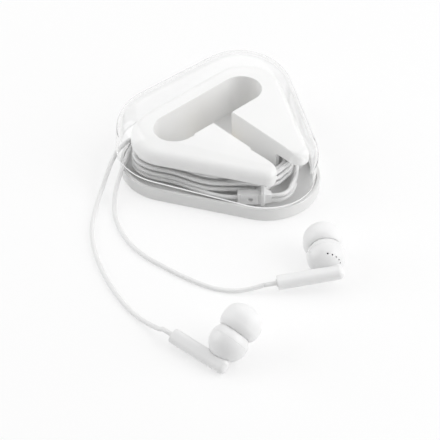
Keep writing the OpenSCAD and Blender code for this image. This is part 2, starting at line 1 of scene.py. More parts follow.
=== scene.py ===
# %% [markdown]
# # Wired earphones in a three-cornered winding case
#
# The CAD model is loaded as a fixed frame. Every piece made here goes where its CAD solid is,
# rides on that solid's body and takes its place in the picture, in metres and in one shared
# frame: the case stands on the floor with the middle of its underside at the origin.

# %% Load the frame
import math
import bpy
from mathutils import Matrix, Vector


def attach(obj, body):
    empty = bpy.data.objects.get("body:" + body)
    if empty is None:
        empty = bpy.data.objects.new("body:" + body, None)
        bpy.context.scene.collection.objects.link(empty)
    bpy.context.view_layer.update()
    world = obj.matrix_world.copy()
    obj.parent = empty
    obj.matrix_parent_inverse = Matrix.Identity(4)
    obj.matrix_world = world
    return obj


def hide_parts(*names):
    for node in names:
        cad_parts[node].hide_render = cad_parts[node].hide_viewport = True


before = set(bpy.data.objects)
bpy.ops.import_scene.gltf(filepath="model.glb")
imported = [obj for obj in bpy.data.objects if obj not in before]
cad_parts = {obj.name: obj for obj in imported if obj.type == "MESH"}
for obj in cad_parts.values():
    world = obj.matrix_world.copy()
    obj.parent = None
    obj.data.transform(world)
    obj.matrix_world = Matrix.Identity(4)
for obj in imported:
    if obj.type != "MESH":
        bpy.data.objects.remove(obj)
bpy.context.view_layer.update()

MM = 0.001
bpy.ops.object.select_all(action="DESELECT")


# %% [markdown]
# ## Camera
#
# A product picture of something this small is taken from well back with a long lens, so that
# the case keeps its shape. The camera is placed by its turn round the object, its rise over
# the floor and its distance. It comes first, because the cords are laid out in its view.

# %% Camera
VIEW_TURN, VIEW_RISE, VIEW_ROLL = (math.radians(a) for a in (-42.838, 41.49, -0.237))
VIEW_ACROSS, VIEW_UP, VIEW_BACK = -2.76, -21.409, 714.181

back = Vector((math.sin(VIEW_TURN) * math.cos(VIEW_RISE),
               -math.cos(VIEW_TURN) * math.cos(VIEW_RISE), math.sin(VIEW_RISE)))
level = Vector((math.cos(VIEW_TURN), math.sin(VIEW_TURN), 0))
upward = back.cross(level)
across = level * math.cos(VIEW_ROLL) + upward * math.sin(VIEW_ROLL)
upward = upward * math.cos(VIEW_ROLL) - level * math.sin(VIEW_ROLL)

lens = bpy.data.cameras.new("camera")
lens.lens, lens.sensor_width = 163.64, 36
lens.clip_start, lens.clip_end = 0.01, 20
camera = bpy.data.objects.new("camera", lens)
bpy.context.scene.collection.objects.link(camera)
place = (across * VIEW_ACROSS + upward * VIEW_UP + back * VIEW_BACK) * MM
camera.matrix_world = (Matrix.Translation(place)
                       @ Matrix((across, upward, back)).transposed().to_4x4())
bpy.context.scene.camera = camera
print("camera at", [round(x, 3) for x in place])


# %% [markdown]
# ## Finishes
#
# Nearly all of this object is white, so its finishes differ in small things: how sharp the
# gloss is, how fine the grain of the mould is and how much light goes into the stuff. One
# helper builds each of them: a fine noise gives the grain, a broad one makes the colour and
# the gloss vary a little, as on a real moulding. Numbers that are the same all over sit on
# the shader's own sockets.

# %% A helper for moulded stuff
GLOSSIEST, DULLEST, GRAIN_STRENGTH = 0.85, 1.2, 0.6


def moulded(name, colour, shade, rough, grain=0.35, relief=0.02, patch=9.0, **sockets):
    """Finish that varies from colour to shade in patches (mm), with a grain (mm) in relief."""
    finish = bpy.data.materials.new(name)
    finish.use_nodes = True
    nodes, link = finish.node_tree.nodes, finish.node_tree.links.new
    shader = nodes["Principled BSDF"]
    place = nodes.new("ShaderNodeTexCoord").outputs["Object"]
    broad, fine = nodes.new("ShaderNodeTexNoise"), nodes.new("ShaderNodeTexNoise")
    broad.inputs["Scale"].default_value = 1 / (patch * MM)
    broad.inputs["Detail"].default_value = 3
    fine.inputs["Scale"].default_value = 1 / (grain * MM)
    fine.inputs["Detail"].default_value = 4
    tint = nodes.new("ShaderNodeMix")
    tint.data_type = "RGBA"
    tint.inputs["A"].default_value = (*colour, 1)
    tint.inputs["B"].default_value = (*shade, 1)
    gloss = nodes.new("ShaderNodeMapRange")
    gloss.inputs["To Min"].default_value = rough * GLOSSIEST
    gloss.inputs["To Max"].default_value = rough * DULLEST
    bump = nodes.new("ShaderNodeBump")
    bump.inputs["Strength"].default_value = GRAIN_STRENGTH
    bump.inputs["Distance"].default_value = relief * MM
    for noise in (broad, fine):
        link(place, noise.inputs["Vector"])
    link(broad.outputs["Fac"], tint.inputs["Factor"])
    link(tint.outputs["Result"], shader.inputs["Base Color"])
    link(broad.outputs["Fac"], gloss.inputs["Value"])
    link(gloss.outputs["Result"], shader.inputs["Roughness"])
    link(fine.outputs["Fac"], bump.inputs["Height"])
    link(bump.outputs["Normal"], shader.inputs["Normal"])
    for socket, value in sockets.items():
        shader.inputs[socket.replace("_", " ")].default_value = value
    return finish


def wear(piece, finish):
    """Gives the piece its finish."""
    piece.data.materials.clear()
    piece.data.materials.append(finish)


# %% The cable's jacket
JACKET = moulded("jacket_finish", (0.86, 0.86, 0.86), (0.81, 0.81, 0.805), 0.42, grain=0.3,
                 relief=0.006, patch=14)
print("finish:", JACKET.name)


# %% [markdown]
# ## The wound cable
#
# The cable is laid as a person winds it: round four bearing rounds, two where the slot's
# mouth begins and two at the ends of its cross bar. Between two rounds it runs straight and
# bows out a little, and it bulges at the left corner, because nobody winds it tight. It climbs
# the core in an inner column of turns, steps outwards and comes down in a second one, which
# slips a little on its way to the height where the first began. One formula gives the place
# after any number of turns, so the whole winding is one curve, and its real length is measured
# from it.

# %% Bearing rounds and runs
CORD = 1.6
# Middle and radius of each round, then the bow of the run after it and of the round, in mm.
BEARING = [(4.4, -19.3, 2.6), (16.06, 10.05, 8.84), (-16.06, 10.05, 8.84), (-4.4, -19.3, 2.6)]
SLACK = (2.6, 0.6, 2.6, 0.8)
CORNER_SLACK = (0, 0, 2.6, 0)
# Shares of a turn, in pairs: over a round, and along the run after it.
STATIONS = (2, 3, 6, 1, 6, 3, 2, 1)


def unit(degrees):
    return Vector((math.cos(math.radians(degrees)), math.sin(math.radians(degrees)), 0))


def round_at(k):
    x, y, radius = BEARING[k % 4]
    return Vector((x, y, 0)), radius


def run_angle(k):
    """Direction square to the run from round k to the next one, outwards, in degrees."""
    (a, ra), (b, rb) = round_at(k), round_at(k + 1)
    d = b - a
    return math.degrees(math.atan2(d.y, d.x) - math.acos((ra - rb) / d.length))


def turn_point(u, away):
    """Place of the cable's centre after u turns, at a distance from the core."""
    s, m = (u - math.floor(u)) * sum(STATIONS), 0
    while s >= STATIONS[m] and m < len(STATIONS) - 1:
        s, m = s - STATIONS[m], m + 1
    g, k = s / STATIONS[m], m // 2
    centre, radius = round_at(k)
    if m % 2 == 0:
        turned = (run_angle(k) - run_angle(k - 1)) % 360
        away += CORNER_SLACK[k] * math.sin(math.pi * g) ** 2
        return centre + unit(run_angle(k - 1) + turned * g) * (radius + away)
    out = unit(run_angle(k))
    a, (b, b_radius) = centre + out * (radius + away), round_at(k + 1)
    b = b + out * (b_radius + away)
    return a + (b - a) * g + out * SLACK[k] * math.sin(math.pi * g) ** 2


# %% The winding's rise and the helpers for bends
INNER_AWAY, OUTER_STEP, PITCH, LOWEST = 0.95, 2.35, 1.7, 4.1
TURNS, COLUMN = 6.8, 3.65
SLIP = PITCH * (2 * COLUMN - TURNS)
# Turns after the top of the inner column over which the cable steps outwards, and slips.
STEP_TURNS, SLIP_TURNS = (0, 0.5), (1.2, 2.1)
NEAR = 0.004
UP = Vector((0, 0, 1))


def share(value, low, high):
    """How far a value has come from low to high, from 0 to 1."""
    return min(max((value - low) / (high - low), 0), 1)


def winding_point(u):
    """Place of the main lead's centre after u turns."""
    down = max(u - COLUMN, 0)
    away = INNER_AWAY + OUTER_STEP * share(down, *STEP_TURNS)
    slip = share(down, *SLIP_TURNS)
    rise = PITCH * (u - 2 * down) - SLIP * slip * slip * (3 - 2 * slip)
    return turn_point(u, away) + UP * (LOWEST + rise)


def heading(curve, u):
    """Direction of a curve after u turns."""
    return (curve(u + NEAR) - curve(u - NEAR)).normalized()


def bend(a, a_way, b, b_way, steps):
    """Points after a, up to b, on a curve that leaves along a_way and arrives along b_way."""
    reach = (b - a).length / 3
    p, q = a + a_way * reach, b - b_way * reach
    return [a * (1 - t) ** 3 + p * 3 * (1 - t) ** 2 * t + q * 3 * (1 - t) * t * t + b * t ** 3
            for t in (i / steps for i in range(1, steps + 1))]


def smooth(points, steps):
    """A smooth curve through given points."""
    line = []
    for i in range(len(points) - 1):
        a, b = points[max(i - 1, 0)], points[i]
        c, d = points[i + 1], points[min(i + 2, len(points) - 1)]
        for t in (k / steps for k in range(steps)):
            line.append(0.5 * (2 * b + (c - a) * t + (2 * a - 5 * b + 4 * c - d) * t * t
                               + (3 * b - a - 3 * c + d) * t ** 3))
    return line + [points[-1]]


# %% The main lead's line, from the plug in the slot to the splitter
SPLITTER_TURN = -44
SPLITTER = Vector((-12.1, -23.8, 4.9))
SPLITTER_L, WEDGE_L = 8.0, 3.6
along = unit(SPLITTER_TURN)
splitter_in = SPLITTER - along * SPLITTER_L / 2
splitter_out = SPLITTER + along * (SPLITTER_L / 2 + WEDGE_L)
plug_end = Vector((0.85, -17.7, 4.1))

INTO_SPLITTER, INTO_STEM = 0.8, 1.5
last_turn, fine_steps = TURNS - 0.03, 96
mouth, mouth_radius = round_at(0)
main_line = [plug_end + Vector((0, 1.2, 0)), plug_end]
main_line += [mouth + unit(a) * (mouth_radius + INNER_AWAY) + UP * LOWEST
              for a in range(180, 270, 10)]
main_line += [winding_point(i / fine_steps) for i in range(round(last_turn * fine_steps) + 1)]
main_line += bend(winding_point(last_turn), heading(winding_point, last_turn),
                  splitter_in - along * CORD, along, 20)
main_line += [splitter_in, splitter_in + along * INTO_SPLITTER]


def length_of(line):
    return sum((b - a).length for a, b in zip(line, line[1:]))


print("main lead:", round(length_of(main_line)), "mm in", len(main_line), "points")


# %% [markdown]
# The splitter parts the cable into two leads. They go round the outside of the winding along
# two sides of the case, rise under the open side of the cover, leave the tray over its left
# corner and lie on the floor in two easy curves up to the earbuds. The points on the floor are
# given one by one.

# %% The two earbud leads' lines
RIGHT_ROUTE = [(-33.8, 17, 7.2), (-37.3, 14.8, 6.7), (-41.3, 12.4, 4.5), (-45.3, 9.2, 1.8),
               (-49, 4.8, 0.85), (-52, -0.4, 0.85), (-54.2, -6.1, 0.85), (-55.6, -12.4, 0.85),
               (-55.7, -19.6, 0.85), (-54.7, -26.6, 0.85), (-53.4, -33.6, 0.85),
               (-51.6, -40.6, 0.85), (-49.3, -46.4, 0.85), (-46, -51.1, 0.9),
               (-42, -54.7, 1.5), (-38, -57.6, 2.7)]
LEFT_ROUTE = [(-34.3, 21.3, 8.8), (-37.3, 19.8, 8.2), (-40, 18.5, 6.6), (-44.2, 16.6, 3.2),
              (-49.2, 13.6, 1.1), (-56.6, 7.5, 0.85), (-61.8, 1.8, 0.85), (-66.7, -5.5, 0.85),
              (-70.8, -13.9, 0.85), (-74, -22.8, 0.85), (-76.1, -31.3, 0.85),
              (-76.9, -37.6, 0.95), (-77, -43.9, 1.6), (-76.7, -49, 2.6)]
STEM_REACH, STEM_BACK, GROMMET_PROUD = 17.5, 7.5, 0.4


def bud_place(middle, way, rise, turn):
    """Matrix that takes an earbud from the frame of its nozzle (+Z) to where it lies, in mm."""
    return (Matrix.Translation(middle) @ Matrix.Rotation(math.radians(way), 4, "Z")
            @ Matrix.Rotation(math.radians(90 - rise), 4, "Y")
            @ Matrix.Rotation(math.radians(turn), 4, "Z"))


BUDS = {"left": bud_place((-67.2, -72, 6.6), 6.3, 29.9, 92.7),
        "right": bud_place((-16.1, -65.1, 6.6), 53.3, 4.2, 81.7)}
LEAD_AWAY, LEAD_RISE, FIRST_TURN = INNER_AWAY + 2 * OUTER_STEP, 1.05, 0.09


def lead_line(route, side, low, high, last, bud):
    """Line of a lead: splitter, outside of the winding, tray's rim, floor, earbud."""
    route = [Vector(p) for p in route]
    start = splitter_out + UP * LEAD_RISE * side
    rim, rim_way = route[0], (route[1] - route[0]).normalized()

    def ring(u):
        return turn_point(u, LEAD_AWAY) + UP * (low + (high - low) * share(u, FIRST_TURN, last))

    line = [start - along * INTO_SPLITTER, start, start + along * CORD]
    line += bend(line[-1], along, ring(FIRST_TURN), heading(ring, FIRST_TURN + NEAR), 20)
    line += [ring(FIRST_TURN + (last - FIRST_TURN) * i / 50) for i in range(1, 51)]
    line += bend(line[-1], heading(ring, last - NEAR), rim - rim_way * CORD, rim_way, 10)
    end = bud @ Vector((STEM_REACH + GROMMET_PROUD, 0, -STEM_BACK))
    way = (bud @ Vector((0, 0, -STEM_BACK)) - end).normalized()
    line += [rim] + smooth([rim + rim_way * CORD] + route[1:] + [end - way * 4], 6)
    line += [end - way * CORD, end, end + way * INTO_STEM]
    return [Vector((*p.xy, max(p.z, CORD / 2))) for p in line]


lead_lines = {"left": lead_line(LEFT_ROUTE, 1, 6.2, 8.5, 0.53, BUDS["left"]),
              "right": lead_line(RIGHT_ROUTE, -1, 4.1, 6.3, 0.57, BUDS["right"])}
for hand, line in lead_lines.items():
    print(hand, "lead:", round(length_of(line)), "mm in", len(line), "points")


# %% Make the three cords
def cord_piece(name, line, *nodes):
    """A round cord along the line: one open spline with a bevel of the cord's radius."""
    curve = bpy.data.curves.new(name, "CURVE")
    curve.dimensions = "3D"
    curve.bevel_depth, curve.bevel_resolution = CORD / 2 * MM, 5
    curve.use_fill_caps = True
    spline = curve.splines.new("POLY")
    spline.points.add(len(line) - 1)
    spline.points.foreach_set("co", [x for p in line for x in (*(p * MM), 1)])
    spline.use_smooth = True
    piece = bpy.data.objects.new(name, curve)
    bpy.context.scene.collection.objects.link(piece)
    wear(piece, JACKET)
    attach(piece, "root")
    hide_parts(*nodes)
    return piece


main_lead = cord_piece("main_lead", main_line[::-1], "main_lead_winding")
ear_leads = {hand: cord_piece(hand + "_ear_lead", line, hand + "_lead", hand + "_lead_winding")
             for hand, line in lead_lines.items()}
print("cords:", [main_lead.name] + [piece.name for piece in ear_leads.values()])


# %% [markdown]
# ## Drawing and sweeping
#
# The mouldings of the case are outlines that are swept round, and the parts of the earbuds
# are turned on an axis. So there is one pencil: it starts as a single vertex, and each line is
# an extrude and each arc a spin of that vertex, as one would draw it by hand in edit mode.

# %% The pencil
WELD = 0.002 * MM


class Pencil:
    """Draws an outline over the plane of two directions, in millimetres."""

    def __init__(self, name, first, origin=(0, 0, 0), right=(1, 0, 0), up=(0, 0, 1)):
        self.origin, self.right, self.up = Vector(origin), Vector(right), Vector(up)
        bpy.ops.object.select_all(action="DESELECT")
        self.at = self.spot(first)
        bpy.ops.mesh.primitive_circle_add(vertices=3, radius=MM, location=self.at)
        self.piece = bpy.context.object
        self.piece.name = self.piece.data.name = name
        bpy.ops.object.transform_apply()
        bpy.ops.object.mode_set(mode="EDIT")
        bpy.ops.mesh.select_mode(type="VERT")
        bpy.ops.mesh.select_all(action="SELECT")
        bpy.ops.mesh.merge(type="CENTER")

    def spot(self, point):
        return (self.origin + self.right * point[0] + self.up * point[1]) * MM

    def line(self, *points):
        for point in points:
            step = self.spot(point) - self.at
            bpy.ops.mesh.extrude_vertices_move(TRANSFORM_OT_translate={"value": step})
            self.at = self.spot(point)
        return self

    def arc(self, centre, degrees, steps=6):
        """Arc about a centre, counterclockwise as seen with right to the right and up up."""
        middle, axis = self.spot(centre), self.right.cross(self.up)
        bpy.ops.mesh.spin(steps=steps, angle=-math.radians(degrees), center=middle, axis=axis)
        turn = Matrix.Rotation(math.radians(degrees), 3, axis)
        self.at = middle + turn @ (self.at - middle)
        return self


def sweep_turn(centre, degrees, steps, axis=(0, 0, 1)):
    """Spins what is selected about an axis through a centre in mm, counterclockwise."""
    bpy.ops.mesh.spin(steps=steps, angle=-math.radians(degrees), center=Vector(centre) * MM,
                      axis=axis)


def volume(mesh):
    """Volume within the faces, below zero where they point inwards."""
    mesh.calc_loop_triangles()
    corners = ([mesh.vertices[i].co for i in t.vertices] for t in mesh.loop_triangles)
    return sum(a.dot(b.cross(c)) for a, b, c in corners) / 6


def finish_mesh(piece, matrix=None, angle=35, weighted=False):
    """Merges, closes and turns the faces out, shades by angle and sets the place in the mesh."""
    bpy.ops.mesh.select_all(action="SELECT")
    bpy.ops.mesh.remove_doubles(threshold=WELD)
    bpy.ops.mesh.select_all(action="SELECT")
    bpy.ops.mesh.fill_holes(sides=0)
    bpy.ops.mesh.select_all(action="SELECT")
    bpy.ops.mesh.normals_make_consistent(inside=False)
    bpy.ops.object.mode_set(mode="OBJECT")
    if volume(piece.data) < 0:
        piece.data.flip_normals()
    if matrix is not None:
        place_at(piece, matrix)
    shade(piece, angle, weighted)


def place_at(piece, matrix):
    """Moves the piece by a matrix in mm, and puts its place in its mesh."""
    moved = matrix.copy()
    moved.translation = moved.translation * MM
    piece.matrix_world = moved
    bpy.ops.object.select_all(action="DESELECT")
    piece.select_set(True)
    bpy.context.view_layer.objects.active = piece
    bpy.ops.object.transform_apply()


def shade(piece, angle, weighted):
    bpy.ops.object.select_all(action="DESELECT")
    piece.select_set(True)
    bpy.context.view_layer.objects.active = piece
    bpy.ops.object.shade_smooth_by_angle(angle=math.radians(angle))
    if weighted:
        modify(piece, "WEIGHTED_NORMAL", keep_sharp=True, weight=100)


def modify(piece, kind, **settings):
    """Adds a modifier with its settings and applies it."""
    bpy.context.view_layer.objects.active = piece
    modifier = piece.modifiers.new(kind.lower(), kind)
    for key, value in settings.items():
        setattr(modifier, key, value)
    bpy.ops.object.modifier_apply(modifier=modifier.name)


def pick_faces(piece, test):
    """Selects the faces whose middle, in mm, and normal pass the test, in edit mode."""
    bpy.context.view_layer.objects.active = piece
    bpy.ops.object.mode_set(mode="EDIT")
    bpy.ops.mesh.select_mode(type="FACE")
    bpy.ops.mesh.select_all(action="DESELECT")
    bpy.ops.object.mode_set(mode="OBJECT")
    for face in piece.data.polygons:
        face.select = test(face.center / MM, face.normal)
    bpy.ops.object.mode_set(mode="EDIT")


def cut_away(piece, tool, operation="DIFFERENCE"):
    """Cuts the tool out of the piece, or adds it, and throws the tool away."""
    modify(piece, "BOOLEAN", object=tool, operation=operation, solver="EXACT")
    bpy.data.objects.remove(tool)


def count(piece):
    faces = sum(len(p.vertices) - 2 for p in piece.data.polygons)
    print(piece.name, faces, "triangles")


# %% [markdown]
# ## Tray
#
# The tray and the cover share one plan: a triangle with very round corners, which is a disc
# rolled from corner to corner. The section of the wall is drawn once at the first corner,
# spun through a third of a turn, pulled straight to the next corner and so on until it meets
# itself. The two open rings that are left become the flat floor and the flat underside.

# %% Sweep a section round the case
CORNER_D, CASE_R = 19.6, 19.0
CORNERS = [unit(a) * CORNER_D for a in (-90, 30, 150)]
SECTION_WAY = unit(-150)


def case_section(name, first):
    """A pencil over the plane across the wall at the front corner: out and up, in mm."""
    return Pencil(name, first, CORNERS[0], SECTION_WAY)


def sweep_case(steps=20):
    bpy.ops.mesh.select_all(action="SELECT")
    for i, corner in enumerate(CORNERS):
        sweep_turn(corner, 120, steps)
        step = (CORNERS[(i + 1) % 3] - corner) * MM
        bpy.ops.mesh.extrude_edges_move(TRANSFORM_OT_translate={"value": step})


# %% The tray
TRAY_H, TRAY_WALL, TRAY_FLOOR = 5.2, 1.3, 1.5
FLOOR_ROUND, RIM_IN, RIM_OUT, FOOT_ROUND = 0.5, 0.2, 0.3, 1
inside = CASE_R - TRAY_WALL
section = case_section("tray", (inside - FLOOR_ROUND, TRAY_FLOOR))
section.arc((inside - FLOOR_ROUND, TRAY_FLOOR + FLOOR_ROUND), 90)
section.line((inside, TRAY_H - RIM_IN)).arc((inside + RIM_IN, TRAY_H - RIM_IN), -90, 3)
section.line((CASE_R - RIM_OUT, TRAY_H)).arc((CASE_R - RIM_OUT, TRAY_H - RIM_OUT), -90, 4)
section.line((CASE_R, FOOT_ROUND)).arc((CASE_R - FOOT_ROUND, FOOT_ROUND), -90)
sweep_case()
tray = section.piece
finish_mesh(tray, weighted=True)
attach(tray, "root")
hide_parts("base_tray")
count(tray)


# %% [markdown]
# ## Winder
#
# The cable is wound round a wall that follows a slot in the shape of a T, under a flange that
# keeps the turns in. The slot is where the earbuds are put away. The flange's plan is drawn in
# one go, with the slot let into it and its mouth's corners rounded. It is filled and pulled
# up, and its top edges are bevelled by weight: wide round the rim, fine along the slot, and
# fading from the one to the other round the mouth. The fade is slow, as a bevel whose width
# changes fast along a tight arc folds over itself. Below, the flange is inset and hollowed.

# %% Sides of the slot
BAR_R, BAR_Y, BAR_HALF, STEM_HALF, CORE_END = 7.34, 10.05, 16.06, 4.35, 20.0
CORE_WALL, CORE_GAP = 1.5, 0.03
RIDGE_GAP, RIDGE_T, RIDGE_H, RIDGE_SUNK = 0.05, 0.8, 0.8, 0.1
Y_UP = (0, 1, 0)


def slot_side(pencil, grow, away):
    """Draws the slot's side from its mouth on the right to its mouth on the left, or back."""
    low, ends = BAR_Y - BAR_R - grow, 180 * away
    pencil.line((away * (STEM_HALF + grow), low), (away * BAR_HALF, low))
    pencil.arc((away * BAR_HALF, BAR_Y), ends, 24)
    pencil.line((-away * BAR_HALF, BAR_Y + BAR_R + grow))
    pencil.arc((-away * BAR_HALF, BAR_Y), ends, 24)
    pencil.line((-away * (STEM_HALF + grow), low))


def pull(way):
    """Closes the outline, fills it and extrudes it by a way in mm."""
    bpy.ops.mesh.select_all(action="SELECT")
    bpy.ops.mesh.remove_doubles(threshold=WELD)
    bpy.ops.mesh.select_all(action="SELECT")
    bpy.ops.mesh.edge_face_add()
    bpy.ops.mesh.extrude_region_move(TRANSFORM_OT_translate={"value": Vector(way) * MM})


def slot_wall(name, inner, thick, z, height):
    """A wall that follows the slot and is open at the slot's mouth."""
    edge = STEM_HALF + inner
    pencil = Pencil(name, (edge, -CORE_END), (0, 0, z), up=Y_UP)
    slot_side(pencil, inner, 1)
    pencil.line((-edge, -CORE_END), (-edge - thick, -CORE_END))
    slot_side(pencil, inner + thick, -1)
    pencil.line((edge + thick, -CORE_END), (edge, -CORE_END))
    pull((0, 0, height))
    finish_mesh(pencil.piece)
    return pencil.piece


# %% Plan of the flange
FLANGE_D, FLANGE_R, FLANGE_TOP, FLANGE_H = 20.9, 13.7, 17.7, 5.0
FLANGE_WALL, FLANGE_EDGE, HOLLOW_EDGE = 1.5, 3.0, 1.6
MOUTH_R, MOUTH_ARC, MOUTH_STEPS, SLOT_EDGE = 3.5, 150, 16, 0.25
flange_corners = [unit(a) * FLANGE_D for a in (30, 150)]
foot = FLANGE_TOP - FLANGE_H
mouth_x = STEM_HALF + MOUTH_R
mouth_y = 2 * (MOUTH_R - FLANGE_D / 2 - FLANGE_R) + math.sqrt(3) * mouth_x

plan = Pencil("winder", (STEM_HALF, mouth_y), (0, 0, foot), up=Y_UP)
plan.arc((mouth_x, mouth_y), MOUTH_ARC, MOUTH_STEPS)
for corner, start in zip(flange_corners, (-30, 90)):
    plan.line((corner + unit(start) * FLANGE_R).xy)
    plan.arc(corner, 120, 24)
plan.line((Vector((-mouth_x, mouth_y, 0)) + unit(-MOUTH_ARC) * MOUTH_R).xy)
plan.arc((-mouth_x, mouth_y), MOUTH_ARC, MOUTH_STEPS)
slot_side(plan, 0, -1)
plan.line((STEM_HALF, mouth_y))
winder = plan.piece
pull((0, 0, FLANGE_H))
finish_mesh(winder)

# %% Bevel, hollow and core of the winder
BESIDE = 0.1


def rim_weight(x, y):
    """Share of the wide bevel at a place on the flange's outline."""
    angle = math.degrees(math.atan2(y - mouth_y, abs(x) - mouth_x)) % 360
    if y < mouth_y and math.hypot(y - mouth_y, abs(x) - mouth_x) < MOUTH_R + BESIDE:
        left, start = MOUTH_R - FLANGE_EDGE, MOUTH_R - SLOT_EDGE
        fade = math.acosh(start / left) * (1 - share(angle, 180, 180 + MOUTH_ARC))
        return (MOUTH_R - left * math.cosh(fade)) / FLANGE_EDGE
    in_bar = math.hypot(max(abs(x) - BAR_HALF, 0), y - BAR_Y) < BAR_R + BESIDE
    in_stem = abs(x) < STEM_HALF + BESIDE and y < BAR_Y
    return SLOT_EDGE / FLANGE_EDGE if in_bar or in_stem else 1


weights = winder.data.attributes.new("bevel_weight_edge", "FLOAT", "EDGE")
for edge in winder.data.edges:
    a, b = (winder.data.vertices[i].co / MM for i in edge.vertices)
    if min(a.z, b.z) > foot + 1:
        weights.data[edge.index].value = rim_weight(*((a + b) / 2).xy)
modify(winder, "BEVEL", width=FLANGE_EDGE * MM, segments=10, limit_method="WEIGHT",
       use_clamp_overlap=False)
pick_faces(winder, lambda middle, normal: middle.z < foot + BESIDE)
bpy.ops.mesh.inset(thickness=FLANGE_WALL * MM)
hollow = (0, 0, (FLANGE_H - FLANGE_WALL) * MM)
bpy.ops.mesh.extrude_region_move(TRANSFORM_OT_translate={"value": hollow})
bpy.ops.mesh.bevel(offset=HOLLOW_EDGE * MM, segments=4, affect="EDGES")
finish_mesh(winder)
core = slot_wall("core", CORE_GAP, CORE_WALL, TRAY_FLOOR, foot + 1 - TRAY_FLOOR)
cut_away(winder, core, "UNION")
shade(winder, 35, True)
ridge = slot_wall("ridge", CORE_WALL + RIDGE_GAP, RIDGE_T, TRAY_FLOOR - RIDGE_SUNK, RIDGE_H)
cut_away(tray, ridge, "UNION")
shade(tray, 35, True)
count(winder)


# %% [markdown]
# ## Clear cover
#
# The cover is the deepest moulding of the case, a dome with a clear wall. It is swept
# with both its skins, since clear plastic shows its inner skin as well. It lies ajar on the
# tray: one side rests on the rim and the other is lifted by the leads that pass below it.

# %% The cover
COVER_H, COVER_WALL, COVER_EDGE = 18.2, 0.9, 9.2
BRIM_IN, BRIM_OUT = 0.3, 0.4
COVER_TILT, COVER_RISE, COVER_PLACE = 4.1, 129, Vector((-1.5, 0.6, 7.7))
dome_in, dome_z = CASE_R - COVER_EDGE, COVER_H - COVER_EDGE
inside = CASE_R - COVER_WALL
section = case_section("cover", (dome_in, COVER_H - COVER_WALL))
section.arc((dome_in, dome_z), -90, 14)
section.line((inside, BRIM_IN)).arc((inside + BRIM_IN, BRIM_IN), 90, 3)
section.line((CASE_R - BRIM_OUT, 0)).arc((CASE_R - BRIM_OUT, BRIM_OUT), 90, 4)
section.line((CASE_R, dome_z)).arc((dome_in, dome_z), 90, 16)
sweep_case(24)
cover = section.piece
tilt = Matrix.Rotation(math.radians(COVER_TILT), 4, unit(COVER_RISE - 90))
finish_mesh(cover, Matrix.Translation(COVER_PLACE) @ tilt, weighted=True)
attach(cover, "cover")
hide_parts("clear_cover")
count(cover)


# %% [markdown]
# ## Splitter
#
# A small two-part block is clamped over the cable where it parts. It is a box with all its
# edges bevelled, with a sunk dimple in the face that looks outwards and a groove near each
# end. The tail after it starts as a band that is a little wider and taller than the block, and
# narrows to the two leads, which it keeps apart.

# %% The splitter's block and tail
SPLITTER_H, SPLITTER_W, DIMPLE_D, DIMPLE_L = 4.4, 2.6, 1.8, 2.8
GROOVE, GROOVE_IN = 0.3, 0.9
BAND_T, BAND_WIDER, BAND_TALLER, BAND_RISE = 1.3, 1.3, 1.1, 0.45
TAIL_INSET, TAIL_DROP, TAIL_TAPER = 0.5, -0.2, (1, 0.75, 0.8)
at_splitter = Matrix.Translation(SPLITTER) @ Matrix.Rotation(math.radians(SPLITTER_TURN), 4, "Z")


def box_piece(name, size, middle=(0, 0, 0)):
    bpy.ops.object.select_all(action="DESELECT")
    bpy.ops.mesh.primitive_cube_add(size=1, location=Vector(middle) * MM)
    piece = bpy.context.object
    piece.name = piece.data.name = name
    piece.scale = Vector(size) * MM
    bpy.ops.object.transform_apply()
    return piece


def tool_round(radius, depth, middle, axis="Z", sides=32):
    """A cylinder to cut with: its middle, length and axis, in mm."""
    turn = {"X": (0, math.pi / 2, 0), "Y": (math.pi / 2, 0, 0), "Z": (0, 0, 0)}[axis]
    bpy.ops.object.select_all(action="DESELECT")
    bpy.ops.mesh.primitive_cylinder_add(vertices=sides, radius=radius * MM, depth=depth * MM,
                                        location=Vector(middle) * MM, rotation=turn)
    bpy.ops.object.transform_apply()
    return bpy.context.object


splitter = box_piece("splitter", (SPLITTER_L, SPLITTER_W, SPLITTER_H))
dimple_at = (SPLITTER_L * 0.05, -SPLITTER_W / 2, -0.2)
cut_away(splitter, tool_round(DIMPLE_D / 2, DIMPLE_L, dimple_at, "Y"))
for end in (-1, 1):
    for side in (-1, 1):
        groove_at = (end * (SPLITTER_L / 2 - GROOVE_IN), side * SPLITTER_W / 2, 0)
        cut_away(splitter, box_piece("groove", (GROOVE, GROOVE, SPLITTER_H + 1), groove_at))
modify(splitter, "BEVEL", width=0.25 * MM, segments=3, limit_method="ANGLE",
       angle_limit=math.radians(60))
place_at(splitter, at_splitter)
shade(splitter, 40, True)

band = (BAND_T, SPLITTER_W + BAND_WIDER, SPLITTER_H + BAND_TALLER)
wedge = box_piece("splitter_tail", band, (SPLITTER_L / 2 + BAND_T / 2, 0, BAND_RISE))
pick_faces(wedge, lambda middle, normal: normal.x > 0.5)
bpy.ops.mesh.inset(thickness=TAIL_INSET * MM)
tail = ((WEDGE_L - BAND_T) * MM, 0, TAIL_DROP * MM)
bpy.ops.mesh.extrude_region_move(TRANSFORM_OT_translate={"value": tail})
bpy.ops.transform.resize(value=TAIL_TAPER)
finish_mesh(wedge)
modify(wedge, "BEVEL", width=0.2 * MM, segments=3, limit_method="ANGLE")
place_at(wedge, at_splitter)
shade(wedge, 40, True)
for piece, node in ((splitter, "y_splitter"), (wedge, "splitter_wedge")):
    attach(piece, "root")
    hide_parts(node)
    count(piece)


# %% [markdown]
# ## Earbud body
#
# Each earbud's body is two shells that meet in a seam round its middle: a front one with the
# nozzle and a rear one with an arc of five vents. Both are turned: the section is drawn from
# the axis outwards and back along the inside, then spun through a full circle. The seam's
# edges are eased, so that it shows as a fine line.

